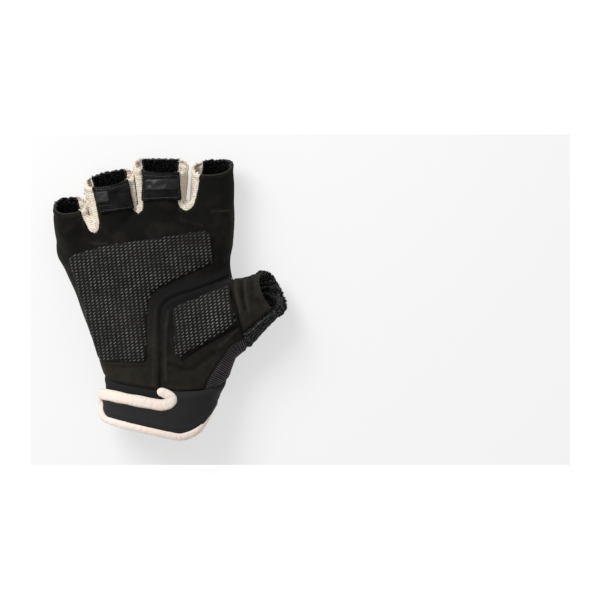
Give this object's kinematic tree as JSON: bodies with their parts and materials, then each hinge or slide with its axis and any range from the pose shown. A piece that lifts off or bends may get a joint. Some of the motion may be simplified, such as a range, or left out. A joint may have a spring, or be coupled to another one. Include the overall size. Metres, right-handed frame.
{
  "type": "cycling glove",
  "caption": "Short-finger cycling glove for the right hand, lying palm up, with padded grip panels, cream strips between the fingers, pull tabs and a wrist strap.",
  "frame": {"origin": "on the surface that the back of the hand rests on, under the middle of the palm", "axes": "+X towards the thumb, +Y towards the fingertips, +Z out of the palm"},
  "size_m": [0.1245, 0.1493, 0.039],
  "materials": {
    "suede": "brushed synthetic suede, matte",
    "knit": "ribbed stretch knit, matte",
    "terry": "fine terry, matte",
    "cream": "cream knitted tape and mesh, matte",
    "stretch_cloth": "smooth stretch cloth on foam",
    "grip": "padded cloth with a raised rubbery print of slanted dashes",
    "webbing": "fine woven tape",
    "rubber_patch": "smooth, slightly glossy rubber print"
  },
  "bodies": {
    "root": {"palm_main": "suede", "palm_thenar": "suede", "hand_back": "knit", "thumb_front": "suede", "thumb_back": "terry", "fourchette_index_middle": "cream", "fourchette_middle_ring": "cream", "fourchette_ring_little": "cream", "pad_palm": "grip", "pad_thenar": "grip", "pull_tab_middle": "webbing", "pull_tab_ring": "webbing", "tab_patch_middle": "rubber_patch", "tab_patch_ring": "rubber_patch", "cuff_band": "stretch_cloth", "closure_strap": "stretch_cloth", "strap_binding": "cream", "cuff_binding": "cream"}
  },
  "joints": []
}
